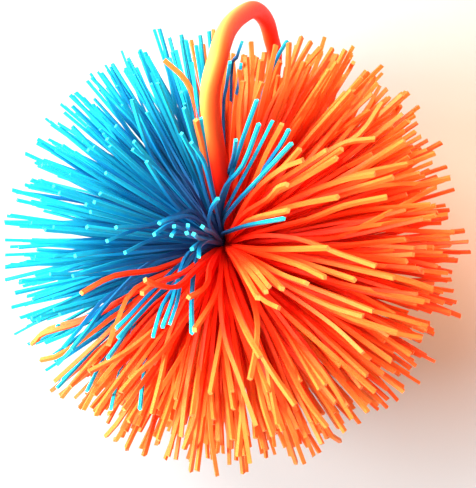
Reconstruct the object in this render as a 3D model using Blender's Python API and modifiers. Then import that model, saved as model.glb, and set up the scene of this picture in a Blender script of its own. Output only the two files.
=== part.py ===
"""Stringy stress ball.

Square rubber strands run through a cable tie at the middle and fan out from both of its mouths.
A closed ring of thick rubber cord runs through the same tie and stands out as a finger loop.
Lengths are metres and +Z is up. The ball stands on Z = 0, on the cut ends of its lowest strands.
"""
import math
import random

import bmesh
import bpy
from mathutils import Matrix, Vector

MM = 0.001
DEG = math.radians(1.0)

# Ball
BALL_RADIUS = 37.5 * MM  # centre to the tip of a full-length strand
REST_HEIGHT = 34.0 * MM  # centre above the table, so the lowest strands are pressed flat
MOUTH_ANGLE = 13.0 * DEG  # the open mouth round each pole
DROOP = 1.2 * MM  # how far a level strand sags at its tip
CUT = (0.90, 1.03)  # the shortest and the longest strand, as shares of a full length
GAP = 0.3 * MM  # clearance between touching pieces

# Strands
WIDTH = {"orange": 0.82 * MM, "blue": 0.70 * MM}
ROOT_DEPTH = 0.5 * MM  # a strand stretched thin inside the tie
TWIST = 35.0 * DEG
BEND_AT_SPREAD = 0.87  # share of its final angle that a strand has where it reaches full width
BEND_AT_MIDDLE = 0.97
MIDDLE = 0.66  # place of the middle section along a strand
LAST_SPREAD = 0.5  # a strand is at full width by this share of its length
WAVER = 0.85  # how much of the free room between neighbours a strand may wander through

# Tufts: azimuths in degrees where tips cling together, and how far towards one a tip leans
TUFTS = {
    "blue": (97, 102, 108, 113, 117.5, 122, 126, 130, 134.5, 139, 143.5, 149.5, 155, 160, 165, 173, 179,
             184.5, 190, 197, 202, 208, 214, 219),
    "orange": [220 + 6.6 * i + 2.2 * math.sin(5.1 * i) for i in range(37)],
}
TUFT_REACH = 4.0 * DEG
CLING = {"blue": 0.60, "orange": 0.40}

# Bundles in the tie, from the middle outward: bundles, strands deep, strands across
RINGS = ((6, 2, 2), (12, 3, 2), (18, 3, 2))
RING_START = 97.0 * DEG
BLUE_SECTOR = (97.0 * DEG, 217.0 * DEG)
BLUE_STRAY = 67.0 * DEG  # one inner blue bundle leans out among the orange ones

# Finger loop
LOOP_STANDOFF = 3.8 * MM  # centre line of the loop beyond the ball
CORD_RADIUS = 1.42 * MM
CORE_CORD_RADIUS = 1.05 * MM  # stretched thin inside the tie
CORD_SWELL = (0.15, 0.65)  # the cord swells to its full radius between these shares of the ball
FINGER_ROOM = 4.0 * MM  # strands under the loop are this much shorter
FINGER_WINDOW = 14.0 * MM  # width of the shortened strip under the loop
NEAR_LEG = 97.0 * DEG
FAR_ROOT = 67.0 * DEG  # the far leg leaves the tie here and drifts to FAR_LEG at the surface
FAR_LEG = 77.0 * DEG
OUTER_ARC = (38.0 * DEG, 110.0 * DEG)  # polar angles where the loop leaves and enters the ball
ARC_START = 93.5 * DEG  # the arc leans over from here to FAR_LEG
NEAR_LEG_ROWS = (48.0 * DEG, 62.0 * DEG)  # rows past the first angle start to ignore the near leg
LOOP_REACH = BALL_RADIUS + LOOP_STANDOFF

# Cable tie
STRAP_WIDTH = 2.5 * MM
STRAP_THICKNESS = 1.1 * MM
HEAD_WIDTH = 4.2 * MM
HEAD_LENGTH = 4.7 * MM
HEAD_DEPTH = 3.4 * MM
TAIL_LENGTH = 1.6 * MM
HEAD_EDGE = 0.4 * MM
HEAD_AZIMUTH = 307.0 * DEG

ORANGE = (1.0, 0.22, 0.02)
BLUE = (0.0, 0.35, 0.75)
LOOP_COLOUR = (1.0, 0.28, 0.03)
NYLON = (0.80, 0.80, 0.76)

WAIST = HEAD_WIDTH / 2 + GAP  # half the height of the squeezed blocks, clear of the tie's head


def spherical(polar, azimuth, distance):
    """A point from its angle to +Z, its azimuth and its distance from the ball's centre."""
    flat = math.sin(polar) * distance
    return Vector((flat * math.cos(azimuth), flat * math.sin(azimuth), math.cos(polar) * distance))


def blend(low, high, value):
    """Smooth step from 0 at low to 1 at high."""
    t = min(1.0, max(0.0, (value - low) / (high - low)))
    return t * t * (3.0 - 2.0 * t)


# Arrangement of the strands


def ring_radii():
    """Inner and outer radius of each ring of bundles inside the tie."""
    radii = []
    inner = CORE_CORD_RADIUS + GAP
    for _bundles, deep, _across in RINGS:
        outer = inner + deep * ROOT_DEPTH
        radii.append((inner, outer))
        inner = outer + GAP
    return radii


def row_angles():
    """Final polar angle of each row of strands, which share the half sphere out evenly."""
    counts = [bundles * across for bundles, deep, across in RINGS for _row in range(deep)]
    total = sum(counts)
    angles, before = [], 0
    for count in counts:
        height = math.cos(MOUTH_ANGLE) * (1.0 - (before + count / 2) / total)
        angles.append(math.acos(height))
        before += count
    return angles


RING_RADII = ring_radii()
BORE = RING_RADII[-1][1] + GAP
ROW_ANGLES = row_angles()
TIGHTEST = min(b - a for a, b in zip(ROW_ANGLES, ROW_ANGLES[1:])) * BEND_AT_SPREAD
SPREAD_RADIUS = max((max(WIDTH.values()) + GAP) / TIGHTEST,
                    BORE + HEAD_DEPTH + WIDTH["orange"])  # far enough out to pass over the tie's head


# Finger loop's route


def leg_azimuth(side, distance):
    """Azimuth of the near leg, above, or of the far leg, below, at a distance from the centre."""
    if side > 0:
        return NEAR_LEG
    return FAR_ROOT + (FAR_LEG - FAR_ROOT) * min(1.0, distance / BALL_RADIUS)


def loop_route():
    """The loop's centre line, once round: hand-placed polar angles and shares of the reach."""
    near = ((0, 0.00), (0, 0.13), (13, 0.21), (26, 0.36), (33, 0.62), (35.5, 0.89))
    over = ((40, 1.01), (52, 0.99), (66, 0.97), (79, 0.98), (91, 0.98), (100, 0.96))
    far = ((110, 0.93), (125, 0.77), (146, 0.44), (167, 0.24), (180, 0.14))
    route = [spherical(p * DEG, leg_azimuth(1, 0), r * LOOP_REACH) for p, r in near]
    route += [spherical(p * DEG, arc_azimuth(p * DEG), r * LOOP_REACH) for p, r in over]
    route += [spherical(p * DEG, leg_azimuth(-1, r * LOOP_REACH), r * LOOP_REACH) for p, r in far]
    return route


def smooth_ring(points, steps):
    """A closed smooth curve through the points, with a few steps between each two."""
    curve = []
    count = len(points)
    for i in range(count):
        a, b, c, d = (points[(i + k - 1) % count] for k in range(4))
        for step in range(steps):
            t = step / steps
            curve.append(0.5 * (2 * b + (c - a) * t + (2 * a - 5 * b + 4 * c - d) * t ** 2
                                + (3 * b - a - 3 * c + d) * t ** 3))
    return curve


def cord_radius(distance):
    """Radius of the cord, thin near the tie and full further out."""
    full = blend(*CORD_SWELL, distance / BALL_RADIUS)
    return CORE_CORD_RADIUS + (CORD_RADIUS - CORE_CORD_RADIUS) * full


def arc_azimuth(polar):
    """Azimuth of the loop's outer arc over a polar angle."""
    low, high = OUTER_ARC
    share = min(1.0, max(0.0, (polar - low) / (high - low)))
    return ARC_START + (FAR_LEG - ARC_START) * share


LOOP_LINE = smooth_ring(loop_route(), 3)


def turn_between(a, b):
    """Signed turn from azimuth b to azimuth a."""
    return (a - b + math.pi) % (2 * math.pi) - math.pi


def part_round_leg(azimuth, side, distance, room, axis_distance):
    """Swing a strand aside from a leg of the loop, and crowd the others evenly behind it.

    Gives the new azimuth and how far the strands are crowded together there.
    """
    root = leg_azimuth(side, 0)
    leg = leg_azimuth(side, distance)
    aside = math.asin(min(0.95, room / axis_distance))
    offset = turn_between(azimuth, root)
    crowding = 1.0 - (aside + math.copysign(1.0, offset) * (leg - root)) / math.pi
    return leg + math.copysign(aside, offset) + offset * crowding, crowding


# Strands


class Strand:
    """One free end of a strand, from a mouth of the tie to its cut tip."""

    def __init__(self, side, row, azimuth, pitch, colour, rng):
        self.side = side
        self.angle = ROW_ANGLES[row]
        others = [abs(a - self.angle) for a in ROW_ANGLES if a != self.angle]
        self.row_pitch = min(others)
        self.azimuth = azimuth
        self.pitch = pitch
        self.width = WIDTH[colour]
        self.cling = CLING[colour]
        tuft = min((turn_between(tuft * DEG, azimuth) for tuft in TUFTS[colour]), key=abs)
        self.tuft = max(-TUFT_REACH, min(TUFT_REACH, tuft))
        self.sway = [(rng.uniform(-1, 1), rng.uniform(-1, 1)) for _ in range(2)]
        self.twist = rng.uniform(-TWIST, TWIST)
        self.length = BALL_RADIUS * rng.uniform(*CUT)
        self.on_table = False

    def place(self, distance, bend, along):
        """Centre of the strand at a distance from the ball's centre, and its width there."""
        polar = self.angle * bend
        room = cord_radius(distance) + 0.25 * self.width + GAP / 2
        if self.side > 0:
            room *= 1.0 - blend(*NEAR_LEG_ROWS, self.angle)
        axis_distance = distance * math.sin(polar)
        cling = self.cling * (distance / self.length) ** 1.5
        azimuth, crowding = part_round_leg(self.azimuth + cling * self.tuft, self.side, distance, room,
                                           axis_distance)
        free_polar = self.row_pitch * bend * distance - GAP
        free_azimuth = self.pitch * (1.0 - cling) * crowding * axis_distance - GAP
        width = min(self.width, free_polar, free_azimuth)
        sway = [a + (b - a) * along for a, b in zip(*self.sway)]
        polar += sway[0] * WAVER * (free_polar - width) / 2 / distance
        azimuth += sway[1] * WAVER * (free_azimuth - width) / 2 / axis_distance
        point = spherical(polar, azimuth, distance)
        point.z *= self.side
        point.z -= DROOP * (distance / BALL_RADIUS) ** 2 * math.sin(polar) ** 2
        return point, width

    def trim(self):
        """Cut the strand short under the finger loop, and end it level on the table."""
        tip, _width = self.place(self.length, 1.0, 1.0)
        polar = tip.angle(Vector((0, 0, 1)))
        azimuth = math.atan2(tip.y, tip.x)
        low, high = OUTER_ARC
        reach = FINGER_WINDOW / 2 / BALL_RADIUS
        beside = abs(turn_between(azimuth, arc_azimuth(polar)))
        if low < polar < high + reach and beside < reach:
            self.length = min(self.length, BALL_RADIUS - FINGER_ROOM)
        lowest = -tip.z + self.width / 2
        if lowest > REST_HEIGHT:
            self.on_table = True
            self.length *= REST_HEIGHT / -tip.z

    def stations(self, root):
        """Sections of the strand after its root: centre, two side directions and width."""
        spread = min(SPREAD_RADIUS, LAST_SPREAD * self.length)
        stops = [(spread, BEND_AT_SPREAD, 0.0)]
        if self.angle > ROW_ANGLES[1]:
            stops.append((MIDDLE * self.length, BEND_AT_MIDDLE, 0.5))
        stops.append((self.length, 1.0, 1.0))
        places = [self.place(*stop) for stop in stops]
        points = [root] + [point for point, _width in places]
        if self.on_table:
            points[-1].z = -REST_HEIGHT
        sections = []
        for i, ((_distance, _bend, along), (_point, width)) in enumerate(zip(stops, places), start=1):
            ahead = points[min(i + 1, len(points) - 1)]
            tangent = (ahead - points[i - 1]).normalized()
            if self.on_table and i == len(stops):
                tangent = Vector((0, 0, -1))
            outward = Vector((points[i].x, points[i].y, 0)).normalized()
            across = Vector((-outward.y, outward.x, 0))
            across = (across - tangent * across.dot(tangent)).normalized()
            deep = tangent.cross(across) * -self.side
            turned = Matrix.Rotation(self.twist * along, 3, tangent)
            sections.append((points[i], turned @ deep, turned @ across, width))
        return sections


def split_block(deep, across):
    """A unit block whose top and bottom faces are split into one square a strand."""
    bm = bmesh.new()
    bmesh.ops.create_cube(bm, size=1.0)
    for axis, cuts in ((0, deep - 1), (1, across - 1)):
        lines = [e for e in bm.edges if abs((e.verts[1].co - e.verts[0].co)[axis]) > 0.5]
        bmesh.ops.subdivide_edges(bm, edges=lines, cuts=cuts, use_grid_fill=True)
    return bm


def grow(bm, face, strand):
    """Extrude one square of the block, section by section, into a strand."""
    middle = face.calc_center_median()
    deep = Vector((middle.x, middle.y, 0)).normalized()
    across = Vector((-deep.y, deep.x, 0))
    for point, next_deep, next_across, width in strand.stations(middle.copy()):
        face = bmesh.ops.extrude_discrete_faces(bm, faces=[face])["faces"][0]
        for vert in face.verts:
            away = vert.co - middle
            along_deep = math.copysign(width / 2, away.dot(deep))
            along_across = math.copysign(width / 2, away.dot(across))
            vert.co = point + next_deep * along_deep + next_across * along_across
        middle, deep, across = point, next_deep, next_across


def bundle_mesh(ring, index, first_row, colour, rng):
    """A bundle: one block squeezed in the tie, with its strands out of both ends."""
    bundles, deep, across = RINGS[ring]
    inner, outer = RING_RADII[ring]
    span = 2 * math.pi / bundles
    middle = RING_START + (index + 0.5) * span
    bm = split_block(deep, across)
    for vert in bm.verts:
        radius = inner + (vert.co.x + 0.5) * (outer - inner)
        half = span / 2 - math.asin(GAP / 2 / radius)
        azimuth = middle + vert.co.y * 2 * half
        vert.co = Vector((radius * math.cos(azimuth), radius * math.sin(azimuth),
                          math.copysign(WAIST, vert.co.z)))
    bm.normal_update()
    squares = []
    for face in bm.faces:
        if abs(face.normal.z) < 0.5:
            continue
        centre = face.calc_center_median()
        row = int((centre.xy.length - inner) / ROOT_DEPTH)
        turn = turn_between(math.atan2(centre.y, centre.x), middle)
        column = int((turn / span + 0.5) * across)
        squares.append((math.copysign(1, centre.z), row, column, face))
    for side, row, column, face in sorted(squares, key=lambda square: square[:3]):
        azimuth = middle + ((column + 0.5) / across - 0.5) * span
        strand = Strand(side, first_row + row, azimuth, span / across, colour, rng)
        strand.trim()
        grow(bm, face, strand)
    mesh = bpy.data.meshes.new("bundle")
    bm.to_mesh(mesh)
    bm.free()
    return mesh


def is_blue(ring, index):
    """Blue bundles fill one sector, and one more leans out among the orange ones."""
    middle = RING_START + (index + 0.5) * 2 * math.pi / RINGS[ring][0]
    low, high = BLUE_SECTOR
    in_sector = 0 < (middle - low) % (2 * math.pi) < high - low
    stray = ring == 0 and abs(turn_between(middle, BLUE_STRAY)) < 1 * DEG
    return in_sector or stray


# Scene helpers


def clear_scene():
    """Remove every object that the file starts with."""
    for thing in list(bpy.data.objects):
        bpy.data.objects.remove(thing, do_unlink=True)


def new_collection(name):
    """A collection of its own under the scene's."""
    collection = bpy.data.collections.new(name)
    bpy.context.scene.collection.children.link(collection)
    return collection


def material(name, colour, roughness):
    """A plain Principled material."""
    mat = bpy.data.materials.new(name)
    mat.use_nodes = True
    shader = mat.node_tree.nodes["Principled BSDF"]
    shader.inputs["Base Color"].default_value = (*colour, 1.0)
    shader.inputs["Roughness"].default_value = roughness
    shader.inputs["Metallic"].default_value = 0.0
    return mat


def add_object(name, data, collection, parent, mat=None):
    """Link a mesh or curve as a named object under the ball's centre."""
    thing = bpy.data.objects.new(name, data)
    collection.objects.link(thing)
    thing.parent = parent
    if mat:
        data.materials.append(mat)
    return thing


def build_bundles(parts, centre, orange, blue):
    """Every bundle of strands, ring by ring."""
    numbers = {"blue": 0, "orange": 0}
    first_row = 0
    for ring, (bundles, deep, _across) in enumerate(RINGS):
        for index in range(bundles):
            colour = "blue" if is_blue(ring, index) else "orange"
            numbers[colour] += 1
            rng = random.Random(100 * ring + index)
            mesh = bundle_mesh(ring, index, first_row, colour, rng)
            name = f"{colour}_strands_{numbers[colour]:02d}"
            add_object(name, mesh, parts, centre, blue if colour == "blue" else orange)
        first_row += deep


def build_loop(parts, centre, mat):
    """The finger loop, a closed ring of round cord that is thin where the tie squeezes it."""
    curve = bpy.data.curves.new("finger_loop", "CURVE")
    curve.dimensions = "3D"
    curve.bevel_depth = CORD_RADIUS
    curve.bevel_resolution = 2
    spline = curve.splines.new("POLY")
    spline.points.add(len(LOOP_LINE) - 1)
    for knot, place in zip(spline.points, LOOP_LINE):
        knot.co = (*place, 1.0)
        knot.radius = cord_radius(place.length) / CORD_RADIUS
    spline.use_cyclic_u = True
    spline.use_smooth = True
    add_object("finger_loop", curve, parts, centre, mat)


def build_tie(parts, forms, centre, mat):
    """The cable tie: a turned strap, its head and its trimmed tail, joined as one moulding."""
    profile = bpy.data.meshes.new("core_tie")
    bm = bmesh.new()
    corners = ((BORE + STRAP_THICKNESS, STRAP_WIDTH / 2), (BORE + STRAP_THICKNESS, -STRAP_WIDTH / 2),
               (BORE, -STRAP_WIDTH / 2), (BORE, STRAP_WIDTH / 2))
    ring = [bm.verts.new((x, 0, z)) for x, z in corners]
    for a, b in zip(ring, ring[1:] + ring[:1]):
        bm.edges.new((a, b))
    bm.to_mesh(profile)
    bm.free()
    tie = add_object("core_tie", profile, parts, centre, mat)
    turn = tie.modifiers.new("turn", "SCREW")
    turn.steps = 28
    turn.render_steps = 28
    turn.use_merge_vertices = True
    turn.merge_threshold = 0.00001

    head_middle = BORE + HEAD_DEPTH / 2
    tail_height = STRAP_THICKNESS
    tail_middle = BORE + HEAD_DEPTH / 2 + STRAP_THICKNESS / 2
    boxes = (
        ("tie_head_form", (HEAD_DEPTH, HEAD_LENGTH, HEAD_WIDTH), head_middle, 0.0, HEAD_EDGE),
        ("tie_tail_form", (tail_height, HEAD_LENGTH / 2 + TAIL_LENGTH, STRAP_WIDTH), tail_middle,
         HEAD_LENGTH / 4 + TAIL_LENGTH / 2, 0.0),
    )
    for name, size, out, along, edge in boxes:
        mesh = bpy.data.meshes.new(name)
        bm = bmesh.new()
        bmesh.ops.create_cube(bm, size=1.0)
        bmesh.ops.scale(bm, vec=size, verts=bm.verts)
        bmesh.ops.translate(bm, vec=(out, along, 0), verts=bm.verts)
        bmesh.ops.rotate(bm, matrix=Matrix.Rotation(HEAD_AZIMUTH, 3, "Z"), verts=bm.verts)
        if edge:
            bmesh.ops.bevel(bm, geom=bm.edges[:], offset=edge, segments=1, profile=0.5,
                            affect="EDGES", material=-1)
        bm.to_mesh(mesh)
        bm.free()
        form = add_object(name, mesh, forms, centre)
        form.hide_render = True
        form.display_type = "WIRE"
        join = tie.modifiers.new(name, "BOOLEAN")
        join.operation = "UNION"
        join.object = form
        join.solver = "EXACT"


def main():
    clear_scene()
    parts = new_collection("stringy_stress_ball")
    forms = new_collection("forms")
    centre = bpy.data.objects.new("ball_centre", None)
    parts.objects.link(centre)
    loop_top = max(place.y + cord_radius(place.length) for place in LOOP_LINE)
    centre.location = (0.0, (BALL_RADIUS * CUT[1] - loop_top) / 2, REST_HEIGHT)

    build_bundles(parts, centre, material("orange_rubber", ORANGE, 0.45),
                  material("blue_rubber", BLUE, 0.45))
    build_loop(parts, centre, material("loop_rubber", LOOP_COLOUR, 0.4))
    build_tie(parts, forms, centre, material("nylon", NYLON, 0.5))


main()
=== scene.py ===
# %% [markdown]
# A stringy stress ball: several hundred square rubber strands, most orange and some blue, are tied at the
# middle with a nylon cable tie, and their cut ends make the ball. A ring of thick orange rubber cord goes
# through the same tie and stands out as a finger loop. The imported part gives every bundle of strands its
# place, and this lesson dresses it.

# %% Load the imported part
import math
import random

import bmesh
import bpy
from mathutils import Matrix, Vector


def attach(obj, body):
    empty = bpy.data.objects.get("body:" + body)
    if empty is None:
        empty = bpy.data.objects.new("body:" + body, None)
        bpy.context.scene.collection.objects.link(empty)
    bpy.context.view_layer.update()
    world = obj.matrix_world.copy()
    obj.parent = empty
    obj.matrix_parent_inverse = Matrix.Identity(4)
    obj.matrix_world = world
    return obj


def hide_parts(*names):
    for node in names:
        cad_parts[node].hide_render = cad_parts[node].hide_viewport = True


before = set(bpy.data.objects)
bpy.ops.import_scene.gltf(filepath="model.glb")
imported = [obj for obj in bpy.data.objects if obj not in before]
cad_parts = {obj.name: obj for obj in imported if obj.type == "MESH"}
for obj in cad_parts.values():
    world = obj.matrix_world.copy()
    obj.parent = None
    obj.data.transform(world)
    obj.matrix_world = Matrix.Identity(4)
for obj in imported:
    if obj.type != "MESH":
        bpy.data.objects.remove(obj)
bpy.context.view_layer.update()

MM = 0.001
DEG = math.radians(1.0)

# %% [markdown]
# The sizes below are the same ones that the solids were built from, so that a piece made here lands on
# the solid that it stands for. Only the strands are thinner and more, because one in the solids stands
# for two or three. The ball's centre is the one place that everything is measured from, and each mesh is
# moved there at its very end.

# %% Sizes of the real ball
BALL_RADIUS = 37.5 * MM  # centre to the tip of a full-length strand
CENTRE = Vector((0.0, -1.445 * MM, 34.0 * MM))
MOUTH_ANGLE = 13.0 * DEG  # the open mouth round each pole
DROOP = 1.2 * MM  # how far a level strand sags at its tip
GAP = 0.3 * MM  # clearance between blocks in the tie
WAIST = 2.4 * MM  # half the height of a squeezed block
ROOT_DEPTH = 0.5 * MM  # a strand stretched thin inside the tie
WIDTH = {"orange": 0.64 * MM, "blue": 0.50 * MM}  # of the widest strands
THINNEST = {"orange": 0.76, "blue": 0.66}  # share of that width
CORD_RADIUS = 1.42 * MM
CORE_CORD_RADIUS = 1.05 * MM  # stretched thin inside the tie
CORD_SWELL = (0.15, 0.65)  # the cord swells to its full radius between these shares of the ball
NEAR_LEG = 97.0 * DEG
FAR_ROOT = 67.0 * DEG  # the far leg leaves the tie here and drifts to FAR_LEG at the surface
FAR_LEG = 77.0 * DEG
OUTER_ARC = (38.0 * DEG, 110.0 * DEG)  # angles to +Z where the loop leaves and enters the ball
ARC_START = 93.5 * DEG  # the arc leans over from here to FAR_LEG
LOOP_REACH = 41.3 * MM  # ball's centre to the cord's middle, where the loop is out of the ball
FINGER_ROOM = 4.0 * MM  # strands under the loop are this much shorter
FINGER_WINDOW = 14.0 * MM  # width of the strip that is shortened
print(f"ball {2 * BALL_RADIUS / MM:.0f} mm across")
print(", ".join(f"{colour} strands up to {width / MM:.2f} mm wide" for colour, width in WIDTH.items()))

# %% [markdown]
# The picture was taken from straight above, close by, with one mouth of the ball facing the lens. A long
# lens held near the ball gives the same perspective: the tips that point at the lens look a third larger
# than those at the rim. The camera comes first, because the front strands are placed by where they are
# seen.

# %% Camera
PICTURE = (476, 488)
EYE = CENTRE + Vector((1.35, 1.1, 159.0)) * MM


def add_object(name, data):
    """A new object in the scene."""
    made = bpy.data.objects.new(name, data)
    bpy.context.scene.collection.objects.link(made)
    return made


lens = bpy.data.cameras.new("camera")
lens.lens = 68.0
lens.sensor_width = 36.0
lens.clip_start = 0.01
camera = add_object("camera", lens)
camera.location = EYE
bpy.context.scene.camera = camera
bpy.context.view_layer.update()
FOCAL_PIXELS = max(PICTURE) * lens.lens / lens.sensor_width


def seen_at(x, y, distance):
    """The point at a distance from the ball's centre that the camera sees at a place in the picture."""
    ray = Vector(((x - PICTURE[0] / 2) / FOCAL_PIXELS, (PICTURE[1] / 2 - y) / FOCAL_PIXELS, -1.0))
    ray = (camera.matrix_world.to_3x3() @ ray).normalized()
    eye = EYE - CENTRE
    nearest = -eye.dot(ray)
    miss = (eye + ray * nearest).length
    if miss >= distance:
        return (eye + ray * nearest).normalized() * distance
    return eye + ray * (nearest - math.sqrt(distance ** 2 - miss ** 2))


print(f"camera {EYE.z / MM:.0f} mm above the table, {FOCAL_PIXELS:.0f} pixels of focal length")

# %% [markdown]
# Two small helpers do most of the geometry: a point from its angles and distance, and a smooth curve
# through a few points. Blender's own curves could draw the lines too, but they have to be evaluated
# before their points can be read. The curve here is a Catmull-Rom spline, which passes through every
# point that it is given, so a strand can be drawn by naming three or four places along it.

# %% Geometry helpers


def spherical(polar, azimuth, distance):
    """A point from its angle to +Z, its azimuth and its distance from the ball's centre."""
    flat = math.sin(polar) * distance
    return Vector((flat * math.cos(azimuth), flat * math.sin(azimuth), math.cos(polar) * distance))


def ease(low, high, value):
    """Smooth step from 0 at low to 1 at high."""
    t = min(1.0, max(0.0, (value - low) / (high - low)))
    return t * t * (3.0 - 2.0 * t)


def turn_between(a, b):
    """Signed turn from azimuth b to azimuth a."""
    return (a - b + math.pi) % (2 * math.pi) - math.pi


def smooth_through(points, steps, closed=False):
    """Catmull-Rom curve through the points; the first and last of an open one only aim it."""
    count = len(points)
    curve = []
    for i in range(count if closed else count - 3):
        a, b, c, d = (points[(i + k - closed) % count] for k in range(4))
        for step in range(steps):
            t = step / steps
            curve.append(0.5 * (2 * b + (c - a) * t + (2 * a - 5 * b + 4 * c - d) * t ** 2
                                + (3 * b - a - 3 * c + d) * t ** 3))
    if not closed:
        curve.append(points[-2].copy())
    return curve


print(f"smooth step after a quarter of the way: {ease(0.0, 1.0, 0.25):.3f}")

# %% [markdown]
# The finger loop pushes the strands aside where it leaves the ball. So its route is settled before the
# strands are: up through the mouth, out at the top of the picture, over the outside in an arc and back in
# on the far side. The azimuth of each leg says where strands have to part.

# %% Route of the finger loop
LOOP_STEPS = 8  # places from one point of the route to the next


def cord_radius(distance):
    """Radius of the cord, stretched thin in the tie and full further out."""
    return CORE_CORD_RADIUS + (CORD_RADIUS - CORE_CORD_RADIUS) * ease(*CORD_SWELL, distance / BALL_RADIUS)


def leg_azimuth(side, distance):
    """Azimuth of the near leg, above, or of the far leg, below."""
    if side > 0:
        return NEAR_LEG
    return FAR_ROOT + (FAR_LEG - FAR_ROOT) * min(1.0, distance / BALL_RADIUS)


def arc_azimuth(polar):
    """Azimuth of the loop's outer arc over a polar angle."""
    low, high = OUTER_ARC
    share = min(1.0, max(0.0, (polar - low) / (high - low)))
    return ARC_START + (FAR_LEG - ARC_START) * share


def loop_route():
    """The loop's centre line, once round, by its angle to +Z in degrees and the share of its reach."""
    near = ((0, 0.00), (0, 0.13), (13, 0.21), (26, 0.36), (33, 0.62), (35.5, 0.89))
    over = ((40, 1.01), (52, 0.99), (66, 0.97), (79, 0.98), (91, 0.98), (100, 0.96))
    far = ((110, 0.93), (125, 0.77), (146, 0.44), (167, 0.24), (180, 0.14))
    route = [spherical(p * DEG, NEAR_LEG, r * LOOP_REACH) for p, r in near]
    route += [spherical(p * DEG, arc_azimuth(p * DEG), r * LOOP_REACH) for p, r in over]
    route += [spherical(p * DEG, leg_azimuth(-1, r * LOOP_REACH), r * LOOP_REACH) for p, r in far]
    return route


loop_line = smooth_through(loop_route(), LOOP_STEPS, closed=True)
print(f"finger loop: {len(loop_line)} places round it")

# %% [markdown]
# In the tie the strands lie in three rings of bundles. The outer rings fan out to the ball's sides and
# the inner ones stay near the axis. Each bundle's strands share out its own patch of the ball evenly, and
# the jitter keeps them from looking combed. Scattering tips over the ball at random would be shorter to
# write, but then neighbours in the ball wouldn't be neighbours in the tie, and the strands would cross.
# The 1740 tips look as dense as the real ones do.

# %% Bundles in the tie
# Per ring: bundles, squares deep in the solid, strands deep and across here, and the angle to +Z where
# its patch of the ball ends
RINGS = ((6, 2, (4, 5), 42.0 * DEG), (12, 3, (5, 5), 63.5 * DEG), (18, 3, (5, 5), 91.5 * DEG))
RING_START = 97.0 * DEG
BLUE_SECTOR = (97.0 * DEG, 217.0 * DEG)
BLUE_STRAY = 67.0 * DEG  # one inner blue bundle leans out among the orange ones
SEEDS_A_RING = 1000


class Bundle:
    """One bundle: its ring, its place in the tie and its patch of the ball."""

    def __init__(self, ring, index, inner, outer):
        count, _solid, (self.deep, self.across), end = RINGS[ring]
        self.ring, self.inner, self.outer = ring, inner, outer
        self.span = 2 * math.pi / count
        self.middle = RING_START + (index + 0.5) * self.span
        self.heights = [math.cos(RINGS[ring - 1][3] if ring else MOUTH_ANGLE), math.cos(end)]
        in_sector = 0 < (self.middle - BLUE_SECTOR[0]) % (2 * math.pi) < BLUE_SECTOR[1] - BLUE_SECTOR[0]
        stray = ring == 0 and abs(turn_between(self.middle, BLUE_STRAY)) < DEG
        self.colour = "blue" if in_sector or stray else "orange"
        self.rng = random.Random(SEEDS_A_RING * ring + index)


def all_bundles():
    """Every bundle, numbered by colour in the same order as the solids."""
    bundles, numbers = [], {"blue": 0, "orange": 0}
    inner = CORE_CORD_RADIUS + GAP
    for ring, (count, squares, _strands, _end) in enumerate(RINGS):
        outer = inner + squares * ROOT_DEPTH
        for index in range(count):
            bundle = Bundle(ring, index, inner, outer)
            numbers[bundle.colour] += 1
            bundle.name = f"{bundle.colour}_strands_{numbers[bundle.colour]:02d}"
            bundles.append(bundle)
        inner = outer + GAP
    return bundles


bundles = all_bundles()
print(f"{len(bundles)} bundles, {sum(2 * b.deep * b.across for b in bundles)} strand ends")

# %% [markdown]
# Strands cling together at their tips in tufts, with open gaps between the tufts. The blue ones are
# thinner and cling more. Cloth or hair simulation could find the tufts, but it is slow and hard to steer.
# Here each colour has a list of azimuths, and a tip moves part of the way to the nearest of them.

# %% Tufts of tips
BLUE_TUFTS = (98, 103, 108, 114, 119, 123.5, 128, 134, 138.5, 144, 149.5, 155, 161.5, 166.5, 172.2, 178,
              183, 188.5, 194, 200, 206, 212, 218)
ORANGE_TUFTS = [220 + 6.6 * i + 2.2 * math.sin(5.1 * i) for i in range(37)]
TUFTS = {"blue": BLUE_TUFTS, "orange": ORANGE_TUFTS}  # azimuths in degrees
TUFT_REACH = 4.5 * DEG  # a tuft further off counts as this far
CLING = {"blue": 0.80, "orange": 0.30}  # share of that way that a tip moves
CLING_FROM = (20 * DEG, 44 * DEG)  # strands near the axis cling less
CLING_CURVE = 1.3  # above 1, strands close up mostly near their tips
print(f"{len(BLUE_TUFTS)} blue tufts and {len(ORANGE_TUFTS)} orange ones")

# %% [markdown]
# The loop pushes strands aside, so there is a parting at each of its legs and the strands behind it stand
# closer. One could push finished strands off the cord afterwards, but then they would pile up. Turning
# all of them a little, less and less away from the leg, keeps their order and spreads the crowding over
# the whole ball.

# %% Part round the loop
NEAR_LEG_FROM = (14 * DEG, 28 * DEG)  # strands nearer the axis than this ignore the near leg
NEAR_LEG_UNTIL = (48 * DEG, 62 * DEG)  # and so do those further from it
WIDEST_SWING = 0.95  # sine of the furthest that a strand is turned


def part_round_leg(azimuth, side, distance, room, axis_distance):
    """Swing a strand aside from a leg of the loop, and crowd the others evenly behind it."""
    root, leg = leg_azimuth(side, 0), leg_azimuth(side, distance)
    aside = math.asin(min(WIDEST_SWING, room / axis_distance))
    offset = turn_between(azimuth, root)
    crowding = 1.0 - (aside + math.copysign(1.0, offset) * (leg - root)) / math.pi
    return leg + math.copysign(aside, offset) + offset * crowding


parted = part_round_leg(NEAR_LEG, 1, BALL_RADIUS, CORD_RADIUS, BALL_RADIUS)
print(f"a strand at the near leg swings {(parted - NEAR_LEG) / DEG:.1f} degrees aside")

# %% [markdown]
# A strand rises out of the mouth, bends over like water in a fountain and runs almost straight to its
# tip. The ball's outline is uneven, a little longer in some directions and shorter in others. Under the
# loop the strands are short, which leaves room for a finger. All this is worked out as one line a strand,
# before any mesh is made, because a line is quick to change.

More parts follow.
